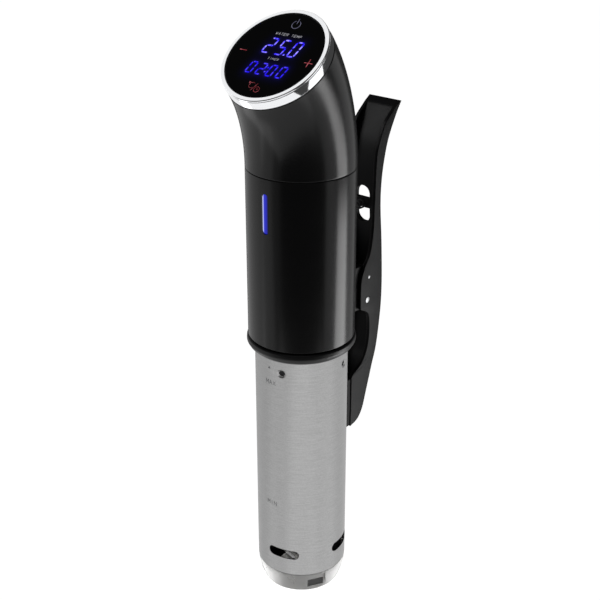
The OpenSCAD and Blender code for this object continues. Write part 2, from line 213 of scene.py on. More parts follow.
def turned(name, profile, path=upright, around=192, closed=True, smoothAngle=35):
    # a profile of (radius, distance along the path) carried round the path:
    # point = centre(s) + radius (cos a across + sin a along)
    profile = np.asarray(profile, float)
    centre, across, along = path(profile[:, 1])
    a = np.linspace(0, 2*np.pi, around, endpoint=False)
    radius = profile[:, 0][:, None, None]
    c, s = np.cos(a)[None, :, None], np.sin(a)[None, :, None]
    grid = centre[:, None] + radius*(c*across[:, None] + s*along[:, None])
    return meshObject(name, grid.reshape(-1, 3), gridFaces(len(profile), around, closed, True), smoothAngle)


def spline(knots, per):
    # a smooth curve through the knots (Catmull-Rom), per points to each stretch
    knots = np.asarray(knots, float)
    padded = np.vstack([2*knots[0] - knots[1], knots, 2*knots[-1] - knots[-2]])
    a, b, c, d = padded[:-3, None], padded[1:-2, None], padded[2:-1, None], padded[3:, None]
    t = (np.arange(per)/per)[None, :, None]
    curve = 0.5*(2*b + (c - a)*t + (2*a - 5*b + 4*c - d)*t**2 + (3*b - a - 3*c + d)*t**3)
    return np.vstack([curve.reshape(-1, knots.shape[1]), knots[-1:]])


def evenly(curve, count):
    # the same curve with count points, evenly spaced along it
    steps = np.r_[0, np.cumsum(np.linalg.norm(np.diff(curve, axis=0), axis=1))]
    at = np.linspace(0, steps[-1], count)
    return np.stack([np.interp(at, steps, curve[:, k]) for k in range(curve.shape[1])], -1)


def prism(name, outline, origin, across, along, depth):
    # an outline in the plane of two directions, carried along their cross product from 0 to depth
    outline = np.asarray(outline, float)
    across, along = np.asarray(across, float), np.asarray(along, float)
    flat = np.asarray(origin, float) + outline[:, :1]*across + outline[:, 1:2]*along
    points = np.vstack([flat, flat + np.cross(across, along)*depth])
    return meshObject(name, points, tubeFaces(2, len(outline)))


def stadium(halfLong, halfHigh, steps=14):
    # outline of a slot with round ends
    a = np.linspace(-np.pi/2, np.pi/2, steps)
    end = np.stack([halfLong - halfHigh + halfHigh*np.cos(a), halfHigh*np.sin(a)], -1)
    return np.vstack([end, -end])


def applied(obj):
    # the mesh with its modifiers applied
    depsgraph = bpy.context.evaluated_depsgraph_get()
    mesh = bpy.data.meshes.new_from_object(obj.evaluated_get(depsgraph))
    obj.modifiers.clear()
    obj.data = mesh
    return obj


def cutAway(obj, cutters, smoothAngle=35):
    # takes the cutters out of the piece, and keeps the shading smooth
    for cutter in cutters:
        step = obj.modifiers.new("cut", "BOOLEAN")
        step.operation = "DIFFERENCE"
        step.solver = "EXACT"
        step.object = cutter
    applied(obj)
    for cutter in cutters:
        bpy.data.objects.remove(cutter)
    obj.data.shade_smooth()
    obj.data.set_sharp_from_angle(angle=math.radians(smoothAngle))
    return obj


def trueRound(obj, radius, low, high):
    # a wall cut by openings keeps a cylinder's own normals, so no cut shows in its shading
    mesh = obj.data
    normals = readOut(mesh.corner_normals, "vector")
    loops = readOut(mesh.loops, "vertex_index", 1, np.int32)[:, 0]
    totals = readOut(mesh.polygons, "loop_total", 1, np.int32)[:, 0]
    ofFace = np.repeat(readOut(mesh.polygons, "normal"), totals, axis=0)
    place = pointsMm(obj)[loops]
    out = place*[1, 1, 0]
    reach = np.linalg.norm(out, axis=1)
    out /= np.maximum(reach, 1e-9)[:, None]
    agree = (ofFace*out).sum(1)
    hit = (abs(reach - radius) < 0.02) & (abs(agree) > 0.98) & (place[:, 2] > low) & (place[:, 2] < high)
    normals[hit] = (out*np.sign(agree)[:, None])[hit]
    mesh.normals_split_custom_set(normals.tolist())
    return obj


def finishPiece(obj, body, slot, finish, *replaced):
    obj.data.materials.clear()
    obj.data.materials.append(finishes[finish])
    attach(obj, body)
    if replaced:
        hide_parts(*replaced)
    return obj


def srgb(code):
    # an sRGB hex colour as linear values
    values = [int(code[k:k + 2], 16)/255 for k in (1, 3, 5)]
    linear = [v/12.92 if v <= 0.04045 else ((v + 0.055)/1.055)**2.4 for v in values]
    return (*linear, 1.0)


def scaled(colour, factor):
    return (*(min(1, c*factor) for c in colour[:3]), 1.0)


def addNode(tree, kind, links=(), **settings):
    # a node with its settings, and links given as (input, other node, its output)
    node = tree.nodes.new("ShaderNode" + kind)
    for key, value in settings.items():
        if key in node.bl_rna.properties and not key.startswith("in_"):
            setattr(node, key, value)
        else:
            node.inputs[int(key[3:]) if key.startswith("in_") else key].default_value = value
    for target, source, output in links:
        tree.links.new(source.outputs[output], node.inputs[target])
    return node


def feed(shader, target, source, output):
    shader.id_data.links.new(source.outputs[output], shader.inputs[target])


def newMaterial(name, colour, roughness, **settings):
    # a material with its tree, its shader, and a node that gives the object's own coordinates
    material = bpy.data.materials.new(name)
    material.use_nodes = True
    tree = material.node_tree
    shader = tree.nodes["Principled BSDF"]
    shader.inputs["Base Color"].default_value = material.diffuse_color = srgb(colour)
    shader.inputs["Roughness"].default_value = roughness
    for key, value in settings.items():
        shader.inputs[key.replace("_", " ")].default_value = value
    return material, tree, shader, addNode(tree, "TexCoord")


def ramp(shader, target, source, output, stops):
    # one of the shader's colours runs through the stops, (place, colour) pairs, as a value rises
    node = addNode(shader.id_data, "ValToRGB", [("Fac", source, output)])
    node.color_ramp.elements[0].position, node.color_ramp.elements[0].color = stops[0]
    node.color_ramp.elements[1].position, node.color_ramp.elements[1].color = stops[-1]
    for place, colour in stops[1:-1]:
        node.color_ramp.elements.new(place).color = colour
    feed(shader, target, node, "Color")


def varyGloss(shader, source, low, high, output="Fac"):
    # the roughness follows a noise value between two limits
    spread = addNode(shader.id_data, "MapRange", [("Value", source, output)], **{
        "From Min": 0.3, "From Max": 0.7, "To Min": low, "To Max": high})
    feed(shader, "Roughness", spread, "Result")


def relief(shader, source, depth):
    bump = addNode(shader.id_data, "Bump", [("Height", source, "Fac")], Strength=1.0, Distance=depth)
    feed(shader, "Normal", bump, "Normal")


def mouldedPlastic(name, colour, roughness, grainMm=0.35, grainDepth=0.02, **more):
    # injection-moulded plastic: the mould's spark-eroded grain breaks up highlights finely,
    # and slow changes of gloss show where the melt cooled
    material, tree, shader, place = newMaterial(name, colour, roughness, **more)
    grain = addNode(tree, "TexNoise", [("Vector", place, "Object")], Scale=1/(grainMm*mm), Detail=2.0)
    flow = addNode(tree, "TexNoise", [("Vector", place, "Object")], Scale=38.0, Detail=3.0)
    varyGloss(shader, flow, roughness*0.9, roughness*1.1)
    ramp(shader, "Base Color", flow, "Fac", [(0.25, srgb(colour)), (0.75, scaled(srgb(colour), 1.12))])
    relief(shader, grain, grainDepth*mm)
    return material


def brushedSteel(name, colour, roughness, lineMm, aroundMm, depth=0.004):
    # belt-brushed stainless: fine scratches run round the tube, so they are long across and short
    # along its axis; they stretch highlights and leave faint bands
    material, tree, shader, place = newMaterial(name, colour, roughness, Metallic=1.0)
    fine, long = 1/(lineMm*mm), 1/(aroundMm*mm)
    stretch = addNode(tree, "Mapping", [("Vector", place, "Object")], Scale=(long, long, fine))
    lines = addNode(tree, "TexNoise", [("Vector", stretch, "Vector")], Scale=1.0, Detail=3.0)
    speckle = addNode(tree, "TexNoise", [("Vector", place, "Object")], Scale=1100.0, Detail=3.0)
    both = addNode(tree, "Mix", [(2, lines, "Fac"), (3, speckle, "Fac")], data_type="FLOAT", in_0=0.4)
    ramp(shader, "Base Color", both, "Result", [(0.38, scaled(srgb(colour), 0.88)), (0.62, scaled(srgb(colour), 1.11))])
    varyGloss(shader, both, roughness*0.88, roughness*1.12, "Result")
    relief(shader, lines, depth*mm)
    return material


def platedChrome(name):
    # chrome plate over polished brass or plastic: a clean mirror with the faintest haze
    material, tree, shader, place = newMaterial(name, "#F4F5F7", 0.06, Metallic=1.0)
    haze = addNode(tree, "TexNoise", [("Vector", place, "Object")], Scale=300.0, Detail=2.0)
    varyGloss(shader, haze, 0.05, 0.09)
    return material


def bareMetal(name, colour, roughness, grainMm=0.5):
    # turned, cast or plated metal: a fine even mottle from the tool or the plating bath
    material, tree, shader, place = newMaterial(name, colour, roughness, Metallic=1.0)
    mottle = addNode(tree, "TexNoise", [("Vector", place, "Object")], Scale=1/(grainMm*mm), Detail=3.0)
    varyGloss(shader, mottle, roughness*0.85, roughness*1.2)
    ramp(shader, "Base Color", mottle, "Fac", [(0.3, scaled(srgb(colour), 0.88)), (0.7, srgb(colour))])
    return material


def mouldedRubber(name, colour):
    # nitrile rubber: dull, slightly dusty, with a fine matt skin
    material, tree, shader, place = newMaterial(name, colour, 0.72, Specular_IOR_Level=0.35)
    skin = addNode(tree, "TexNoise", [("Vector", place, "Object")], Scale=2500.0, Detail=3.0)
    dust = addNode(tree, "TexNoise", [("Vector", place, "Object")], Scale=90.0, Detail=4.0)
    ramp(shader, "Base Color", dust, "Fac", [(0.35, srgb(colour)), (0.8, scaled(srgb(colour), 1.7))])
    relief(shader, skin, 0.02*mm)
    return material


def clearPolycarbonate(name):
    # clear moulding gone milky: half the light passes and half scatters in the worn, scaled skin
    material, tree, shader, place = newMaterial(name, "#E9E8E6", 0.3, IOR=1.585, Transmission_Weight=0.5)
    haze = addNode(tree, "TexNoise", [("Vector", place, "Object")], Scale=120.0, Detail=3.0)
    varyGloss(shader, haze, 0.26, 0.36)
    return material


def touchGlass(name):
    # black-backed glass: deep black with a sharp clear reflection; the lit marks below
    # spill a faint blue haze, carried by the mesh's own glow values
    material, tree, shader, place = newMaterial(
        name, "#08090B", 0.12, IOR=1.5, Specular_IOR_Level=0.3, Emission_Strength=0.9)
    glow = addNode(tree, "Attribute", attribute_name="glow")
    ramp(shader, "Emission Color", glow, "Fac", [(0.0, (0, 0, 0, 1)), (0.5, srgb("#0B0740")), (1.0, srgb("#241AA8"))])
    film = addNode(tree, "TexNoise", [("Vector", place, "Object")], Scale=60.0, Detail=2.0)
    varyGloss(shader, film, 0.1, 0.16)
    return material


def litMark(name, edge, core, strength, patchMm=1.6):
    # light-emitting segments: saturated at the rim and paler where the chip sits behind the mask
    material, tree, shader, place = newMaterial(name, edge, 0.3, Emission_Strength=strength)
    patch = addNode(tree, "TexNoise", [("Vector", place, "Object")], Scale=1/(patchMm*mm), Detail=1.0)
    ramp(shader, "Emission Color", patch, "Fac", [(0.42, srgb(edge)), (0.72, srgb(core))])
    return material


def litBarPaintedRimAndShade(name):
    # moulded diffuser glowing blue; the pale band at the left edge is a painted highlight, and the dimming towards the
    # right edge is painted shade
    material, tree, shader, place = newMaterial(name, "#0A0A40", 0.25, Emission_Strength=1.0)
    parts = addNode(tree, "SeparateXYZ", [("Vector", place, "Object")])
    across = addNode(tree, "MapRange", [("Value", parts, "X")], **{
        "From Min": -2.1*mm, "From Max": 2.3*mm})
    # the ramp across X paints a highlight at the left edge and shade towards the right on top of the blue glow
    ramp(shader, "Emission Color", across, "Result", [
        (0.0, srgb("#DCE0FF")), (0.11, srgb("#AAB0FF")), (0.24, srgb("#222AC0")),
        (0.62, srgb("#0E16B0")), (0.86, srgb("#040420"))])
    return material


def printedInk(name, colour):
    # screen-printed or etched mark: flat and slightly uneven
    material, tree, shader, place = newMaterial(name, colour, 0.6)
    wear = addNode(tree, "TexNoise", [("Vector", place, "Object")], Scale=1400.0, Detail=2.0)
    ramp(shader, "Base Color", wear, "Fac", [(0.3, scaled(srgb(colour), 0.6)), (0.7, srgb(colour))])
    return material


finishes = {
    "housing": mouldedPlastic("satin_black_abs", "#0C0C0D", 0.22, 0.3, 0.003),
    "collar": mouldedPlastic("collar_black_abs", "#101011", 0.38, 0.3, 0.003),
    "lever": mouldedPlastic("charcoal_glass_filled_nylon", "#111112", 0.42, 0.35, 0.006, Specular_IOR_Level=0.1),
    "bracket": mouldedPlastic("black_glass_filled_nylon", "#0A0A0B", 0.5, 0.35, 0.008, Specular_IOR_Level=0.25),
    "inner": mouldedPlastic("dark_glass_filled_nylon", "#2E2F31", 0.55),
    "impeller": mouldedPlastic("grey_acetal", "#5C5D60", 0.5),
    "board": mouldedPlastic("solder_mask_green", "#12523A", 0.35, 0.8, 0.01),
    "transformer": mouldedPlastic("yellow_winding_tape", "#B8A24A", 0.4, 0.8, 0.01),
    "capacitor": mouldedPlastic("blue_black_shrink_sleeve", "#1B2340", 0.3, 0.8, 0.01),
    "relay": mouldedPlastic("blue_relay_case", "#1F4FA0", 0.35, 0.6, 0.01),
    "digits": mouldedPlastic("digit_reflector_block", "#20243C", 0.5, 0.6, 0.01),
    "ceramic": mouldedPlastic("fired_alumina", "#E9E6DC", 0.6, 0.4, 0.01),
    "magnet": mouldedPlastic("sintered_ferrite", "#2B2B2E", 0.6, 0.3, 0.03),
    "sleeve": brushedSteel("brushed_stainless_sleeve", "#BCBCBC", 0.42, 0.3, 9.0, 0.0025),
    "steel": brushedSteel("drawn_stainless", "#B9B9B9", 0.3, 0.3, 8.0),
    "heater": bareMetal("annealed_heater_tube", "#8A8580", 0.4, 1.2),
    "screw": bareMetal("zinc_plated_steel", "#C4C6C8", 0.32),
    "pin": bareMetal("turned_pin_steel", "#A8A9AA", 0.3),
    "spring": bareMetal("blackened_spring_wire", "#4A4A4C", 0.38),
    "bronze": bareMetal("sintered_bronze", "#A9814F", 0.45),
    "brass": bareMetal("turned_brass", "#D1AE62", 0.28),
    "copper": bareMetal("enamelled_copper", "#A85A32", 0.4, 0.4),
    "aluminium": bareMetal("extruded_aluminium", "#CFD1D3", 0.36),
    "chrome": platedChrome("chrome_plate"),
    "rubber": mouldedRubber("nitrile_rubber", "#161617"),
    "gland": mouldedRubber("moulded_pvc_gland", "#1B1B1C"),
    "clear": clearPolycarbonate("clear_polycarbonate"),
    "glass": touchGlass("black_touch_glass"),
    "blueDigit": litMark("blue_lit_segment", "#2414E8", "#A498FF", 1.4, 1.8),
    "blueTimer": litMark("blue_lit_timer_segment", "#2012F0", "#5A4CFF", 1.0, 1.8),
    "bar": litBarPaintedRimAndShade("blue_light_bar"),
    "redMark": litMark("dim_red_mark", "#8E343C", "#D0707A", 0.8),
    "greyMark": litMark("dim_grey_mark", "#5A5A72", "#8A8AA0", 0.6),
    "label": litMark("pale_lit_label", "#8C8C92", "#B4B4BA", 0.8),
    "etched": printedInk("etched_mark", "#77787A"),
    # dark steel for the sleeve's inner wall and its pits: painted shade
    "sleeveShade": bareMetal("painted_shade_sleeve_steel", "#3A3A3B", 0.6),
    # dark grey for the inside of the clear cap: painted shade
    "capShade": mouldedPlastic("painted_shade_cap_lining", "#3A3A3A", 0.5, 0.5, 0.004),
}
print("materials made:", len(finishes))


barrel = dict(floorZ=barrelLow[2], wall=2.2, bottomBevel=1.1, edge=0.35, seamGap=0.36)


def makeBarrel():
    inner = bodyR - barrel["wall"]
    top = seamZ - barrel["seamGap"]/2
    low = barrel["floorZ"]
    rows = [(22, low, 0.3), (bodyR - barrel["bottomBevel"], low, 0.3), (bodyR, low + barrel["bottomBevel"], 0.4),
            (bodyR, top, barrel["edge"]), (inner, top, 0.2), (inner, low + 2.5, 0.5), (22, low + 2.5, 0.2)]
    obj = turned("housing_barrel_shell", softened(rows), around=256)
    slot = prism("cutter", stadium(lightBar["long"]/2, lightBar["wide"]/2),
                 (0, -bodyR + lightBar["depth"], lightBar["z"]), (0, 0, 1), (1, 0, 0), -lightBar["depth"] - 5)
    cutAway(obj, [slot])
    trueRound(obj, bodyR, low + 2, top - 0.8)
    return finishPiece(obj, "housing", "housing_plastic", "housing", "housing_barrel")


lightBar = dict(z=(lensLow[2] + lensHigh[2])/2, long=lensHigh[2] - lensLow[2], wide=5.0, depth=2.0, sunk=0.5,
                clear=0.15)


def makeLightBar():
    # a lozenge whose face follows the barrel: rings from the outline in to the middle line,
    # face radius = barrel radius - sunk, less a rounding that falls away near the rim
    outline = stadium(lightBar["long"]/2 - lightBar["clear"], lightBar["wide"]/2 - lightBar["clear"], 18)
    reach = (lightBar["long"] - lightBar["wide"])/2
    spine = outline*0
    spine[:, 0] = np.clip(outline[:, 0], -reach, reach)
    shares = np.array([1, 1, 0.93, 0.8, 0.5, 0.02])
    drops = np.array([1.2, 0.25, 0.06, 0.0, 0.0, 0.0])
    rings = []
    for share, drop in zip(shares, drops):
        flat = spine + (outline - spine)*share
        r = bodyR - lightBar["sunk"] - drop
        a = flat[:, 1]/bodyR
        rings.append(np.stack([r*np.sin(a), -r*np.cos(a), lightBar["z"] + flat[:, 0]], -1))
    obj = meshObject("light_bar_diffuser", np.vstack(rings), tubeFaces(len(rings), len(outline)), 60)
    return finishPiece(obj, "housing", "lit_blue", "bar", "light_bar_lens")


neck = dict(bend=109.0, startZ=284.0, wall=2.2, early=0.9, shorter=7.2, taper=0.15)


def neckPath():
    # centreline of the head: its direction leans from upright to the display's tilt, almost evenly,
    # and a small shift makes it end in the middle of the bezel's lower plane
    end = displayTop - displayUp*bezelHeight
    length = neck["bend"]*tilt - neck["shorter"]
    t = np.linspace(0, 1, 400)
    lean = tilt*(neck["early"]*t + (1 - neck["early"])*t**6)
    step = length/399
    y = -np.r_[0, np.cumsum((np.sin(lean[1:]) + np.sin(lean[:-1]))/2*step)]
    z = np.r_[0, np.cumsum((np.cos(lean[1:]) + np.cos(lean[:-1]))/2*step)] + neck["startZ"]
    y += (end[1] - y[-1])*t**2
    z += (end[2] - z[-1])*t
    at = t*length

    def path(s):
        s = np.asarray(s, float)
        inside = np.clip(s, 0, length)
        a = np.interp(inside, at, lean)
        below = np.minimum(s, 0)
        centre = np.stack([0*s, np.interp(inside, at, y), np.interp(inside, at, z) + below], -1)
        return centre, np.stack([0*s + 1, 0*s, 0*s], -1), np.stack([0*s, np.cos(a), np.sin(a)], -1)
    return path, length


def makeHead():
    path, length = neckPath()
    inner = bodyR - neck["wall"]
    low = seamZ + barrel["seamGap"]/2 - neck["startZ"]
    edge = [(inner, low, 0.1), (bodyR, low, barrel["edge"]), (bodyR, 1.0, 0), (bodyR - neck["taper"], length, 0.1)]
    outside = softened(edge, False)
    wallRows = np.linspace(1.5, length - 0.6, 60)
    wall = np.stack([bodyR - neck["taper"]*np.clip(wallRows/length, 0, 1)**4, wallRows], -1)
    outer = np.vstack([outside[:-1], wall, outside[-1:]])
    innerRows = np.linspace(length, low, 40)
    profile = np.vstack([outer, np.stack([inner + 0*innerRows, innerRows], -1)])
    obj = turned("head_shell_outer", profile, path, around=224)
    return finishPiece(obj, "housing", "housing_plastic", "housing", "head_shell")


collar = dict(bore=27.4, socket=28.85, high=7.2, socketDeep=2.8)


def makeCollar():
    low, top, step = collarLow[2], collarLow[2] + collar["high"], collarLow[2] + collar["socketDeep"]
    outer = collarHigh[0]
    bore, socket = collar["bore"], collar["socket"]
    rows = [(socket, low, 0.2), (30.1, low, 0.4), (32.0, low + 1.6, 1.5), (outer + 0.06, low + 4.0, 2.5),
            (outer - 0.2, low + 6.6, 0.8), (32.2, top, 0.4), (bore, top, 0.1), (bore, step, 0.1), (socket, step, 0.1)]
    obj = turned("sleeve_collar", softened(rows, steps=7), around=224)
    return finishPiece(obj, "housing", "housing_plastic", "collar", "collar")


bezel = dict(inner=glassR + 0.12, outer=bodyR - 0.3, lip=1.2, groove=0.24)


def makeBezel():
    r0, r1 = bezel["inner"], bezel["outer"]
    lip, gap = bezel["lip"], bezel["groove"]
    rows = [(r0, -bezelHeight + 0.1, 0.1), (r1 - 0.5, -bezelHeight + 0.1, 0.1), (r1, -bezelHeight + 0.7, 0.5),
            (r1, -lip - gap, 0.3), (r1 - 0.45, -lip - gap/2, 0.1), (r1 - 0.1, -lip, 0.3),
            (r1 - 0.1, -0.07, 0.7), (r0 + 0.1, -0.07, 0.3), (r0, -0.8, 0.1)]
    obj = turned("chrome_bezel_ring", softened(rows, steps=8), onDisplay, around=256, smoothAngle=50)
    return finishPiece(obj, "housing", "bezel_chrome", "chrome", "chrome_bezel")


digit = dict(gap=0.35, slant=0.2, dot=0.55, colonLow=0.3, colonHigh=0.7)
segmentsOf = {"0": "abcdef", "1": "bc", "2": "abged", "3": "abgcd", "4": "fgbc", "5": "afgcd",
              "6": "afgedc", "7": "abc", "8": "abcdefg", "9": "abcdfg"}


def segmentShapes(text, left, bottom, wide, high, pitch, stroke):
    # each lit segment is a long hexagon; the whole row leans to the right
    shapes = []
    x = left
    middle = high/2
    ends = {"a": ((0, high), (wide, high)), "b": ((wide, high), (wide, middle)),
            "c": ((wide, middle), (wide, 0)), "d": ((0, 0), (wide, 0)), "e": ((0, 0), (0, middle)),
            "f": ((0, middle), (0, high)), "g": ((0, middle), (wide, middle))}
    for sign in text:
        if sign in ".:":
            half = stroke*digit["dot"]
            for y in ([half] if sign == "." else [high*digit["colonLow"], high*digit["colonHigh"]]):
                square = np.array([(-half, -half), (half, -half), (half, half), (-half, half)])
                shapes.append(square + [x - (pitch - wide)/2, y])
            continue
        for key in segmentsOf[sign]:
            a, b = (np.array(p, float) for p in ends[key])
            along = (b - a)/np.linalg.norm(b - a)
            side = np.array([-along[1], along[0]])*stroke/2
            a, b = a + along*digit["gap"], b - along*digit["gap"]
            tip = along*stroke/2
            shapes.append(np.array([a, a + tip + side, b - tip + side, b, b - tip - side, a + tip - side]) + [x, 0])
        x += pitch
    return [np.stack([s[:, 0] + digit["slant"]*s[:, 1], s[:, 1] + bottom], -1) for s in shapes]


def strokeShapes(points, width):
    # a polyline drawn with a pen of one width, as one quad to each stretch
    points = [np.array(p, float) for p in points]
    shapes = []
    for a, b in zip(points, points[1:]):
        along = (b - a)/np.linalg.norm(b - a)
        side = np.array([-along[1], along[0]])*width/2
        reach = along*width*0.18
        shapes.append(np.array([a - reach + side, a - reach - side, b + reach - side, b + reach + side]))
    return shapes


def arcPoints(x, y, r, start, end, count=18):
    a = np.radians(np.linspace(start, end, count))
    return np.stack([x + r*np.cos(a), y + r*np.sin(a)], -1)


def onGlass(x, y, level):
    return displayTop + x[:, None]*displayAcross + y[:, None]*displayAlong + displayUp*(level - 0.4)


def onSleeve(x, y, level):
    # x runs round the sleeve, y up it
    a, r = x/sleeveR, sleeveR + level
    return np.stack([r*np.sin(a), -r*np.cos(a), y], -1)


def plates(name, shapes, place, low, high):
    # flat outlines as thin closed plates between two levels of a surface
    points, faces = [], []
    for shape in shapes:
        x, y = np.asarray(shape, float).T
        if np.sum(x*np.roll(y, -1) - np.roll(x, -1)*y) < 0:
            x, y = x[::-1], y[::-1]
        start = len(points)
        for level in (low, high):
            points += place(x, y, level).tolist()
        faces += [[start + k for k in face] for face in tubeFaces(2, len(x))]
    mesh = bpy.data.meshes.new(name)
    mesh.from_pydata((np.array(points)*mm).tolist(), [], faces)
    return placed(name, mesh)


# the lit marks' places and sizes in the display's own plane: x to the right, y to the back
marks = dict(
    temperature=dict(text="25.0", left=-9.7, bottom=0.7, wide=4.5, high=10.0, pitch=8.8, stroke=0.9),
    timer=dict(text="02:00", left=-11.8, bottom=-13.9, wide=3.7, high=7.4, pitch=7.0, stroke=0.8),
    power=(1.3, 21.9), plus=(24.2, -1.2), minus=(-21.8, -0.3), units=(0.3, -22.4),
    title=dict(text="WATER TEMP", x=-8.0, y=13.6, high=1.5, wide=1.15, pitch=1.82, width=0.22, slant=0.15),
    subtitle=dict(text="TIMER", x=-2.7, y=-3.3, high=1.3, wide=1.0, pitch=1.55, width=0.18, slant=0.15),
)


def letterStrokes(text, x, y, high, wide, pitch, width, slant=0.0):
    # capital letters drawn with straight pen strokes
    letters = {
        "A": [(0, 0, 0.5, 1), (0.5, 1, 1, 0), (0.2, 0.38, 0.8, 0.38)],
        "E": [(0, 0, 0, 1), (0, 1, 1, 1), (0, 0.5, 0.8, 0.5), (0, 0, 1, 0)],
        "I": [(0.5, 0, 0.5, 1)],
        "M": [(0, 0, 0, 1), (0, 1, 0.5, 0.35), (0.5, 0.35, 1, 1), (1, 1, 1, 0)],
        "N": [(0, 0, 0, 1), (0, 1, 1, 0), (1, 0, 1, 1)],
        "P": [(0, 0, 0, 1), (0, 1, 1, 1), (1, 1, 1, 0.48), (1, 0.48, 0, 0.48)],
        "R": [(0, 0, 0, 1), (0, 1, 1, 1), (1, 1, 1, 0.5), (1, 0.5, 0, 0.5), (0.45, 0.5, 1, 0)],
        "T": [(0, 1, 1, 1), (0.5, 1, 0.5, 0)],
        "W": [(0, 1, 0.25, 0), (0.25, 0, 0.5, 0.7), (0.5, 0.7, 0.75, 0), (0.75, 0, 1, 1)],
        "X": [(0, 0, 1, 1), (0, 1, 1, 0)],
        " ": [],
    }
    shapes = []
    for k, sign in enumerate(text):
        for x0, y0, x1, y1 in letters[sign]:
            ends = [(x + k*pitch + u*wide + slant*v*high, y + v*high) for u, v in ((x0, y0), (x1, y1))]
            shapes += strokeShapes(ends, width)
    return shapes


def makeDisplay():
    temperature = segmentShapes(**marks["temperature"])
    timer = segmentShapes(**marks["timer"])
    px, py = marks["power"]
    power = strokeShapes(arcPoints(px, py, 2.7, 118, 422), 0.38)
    power += strokeShapes([(px, py + 0.6), (px, py + 4.0)], 0.38)
    qx, qy = marks["plus"]
    mx, my = marks["minus"]
    plusMinus = strokeShapes([(qx - 2.6, qy), (qx + 2.6, qy)], 0.4)
    plusMinus += strokeShapes([(qx, qy - 2.6), (qx, qy + 2.6)], 0.4)
    plusMinus += strokeShapes([(mx - 2.4, my), (mx + 2.4, my)], 0.4)
    ux, uy = marks["units"]
    degree = strokeShapes(arcPoints(ux - 3.9, uy + 2.4, 0.5, 0, 360, 10), 0.22)
    degree += strokeShapes(arcPoints(ux - 1.6, uy + 0.9, 1.9, 50, 310), 0.13)
    slash = strokeShapes([(ux - 0.6, uy - 2.4), (ux + 1.6, uy + 2.6)], 0.15)
    clock = strokeShapes(arcPoints(ux + 2.9, uy - 1.2, 1.8, 0, 360, 20), 0.15)
    clock += strokeShapes([(ux + 2.9, uy - 0.2), (ux + 2.9, uy - 1.2), (ux + 3.7, uy - 1.2)], 0.16)
    labels = letterStrokes(**marks["title"]) + letterStrokes(**marks["subtitle"])
    lit = [("temperature_segments", temperature, "blueDigit", "lit_blue"),
           ("timer_segments", timer, "blueTimer", "lit_blue"),
           ("power_mark", power, "greyMark", "display_black"),
           ("plus_minus_marks", plusMinus, "redMark", "display_black"),
           ("unit_mark", degree + slash, "redMark", "display_black"),
           ("clock_mark", clock, "redMark", "display_black"),
           ("display_labels", labels, "label", "display_black")]
    for name, shapes, finish, slot in lit:
        finishPiece(plates(name, shapes, onGlass, -0.09, 0.03), "housing", slot, finish)
    makeGlass(temperature + timer)


# how much of the blue light spills over the glass, and how far from a segment
spill = dict(near=0.3, nearReach=1.1, far=0.045, farReach=3.6)


def makeGlass(lit):
    # a disc with an eased rim; its glow is the sum of soft bells round the lit segments
    rim = glassR - np.array([0.25, 0.08, 0, 0, 0.3])
    rings = np.r_[0.001, np.linspace(0.6, glassR - 0.5, 80), rim, 0.001]
    heights = np.r_[0, np.zeros(80), -0.05, -0.15, -0.35, -glassThick + 0.2, -glassThick, -glassThick]
    profile = np.stack([rings, heights - 0.42], -1)
    obj = turned("touch_glass", profile, onDisplay, around=220, closed=False)
    where = pointsMm(obj) - displayTop
    flat = np.stack([where @ displayAcross, where @ displayAlong], -1)
    glow = np.zeros(len(flat))
    for shape in lit:
        a, b = (shape[0] + shape[-1])/2, shape[len(shape)//2]
        along = b - a
        t = np.clip(((flat - a) @ along)/(along @ along), 0, 1)
        distance = np.linalg.norm(flat - a - t[:, None]*along, axis=1)
        glow += spill["near"]*np.exp(-(distance/spill["nearReach"])**2)
        glow += spill["far"]*np.exp(-(distance/spill["farReach"])**2)
    values = obj.data.attributes.new("glow", "FLOAT", "POINT").data
    values.foreach_set("value", np.clip(glow, 0, 1).astype(np.float32))
    return finishPiece(obj, "housing", "display_black", "glass", "display_glass")


sleeve = dict(wall=0.6, slotZ=30.2, slotHigh=6.5, slotArc=43.5, slotTurn=14.0,
              dimpleZ=161.0, dimpleR=2.7, dimpleDeep=1.2, pitShadeR=1.9)
quarters = [facing(math.radians(sleeve["slotTurn"] + 90*k)) for k in range(4)]


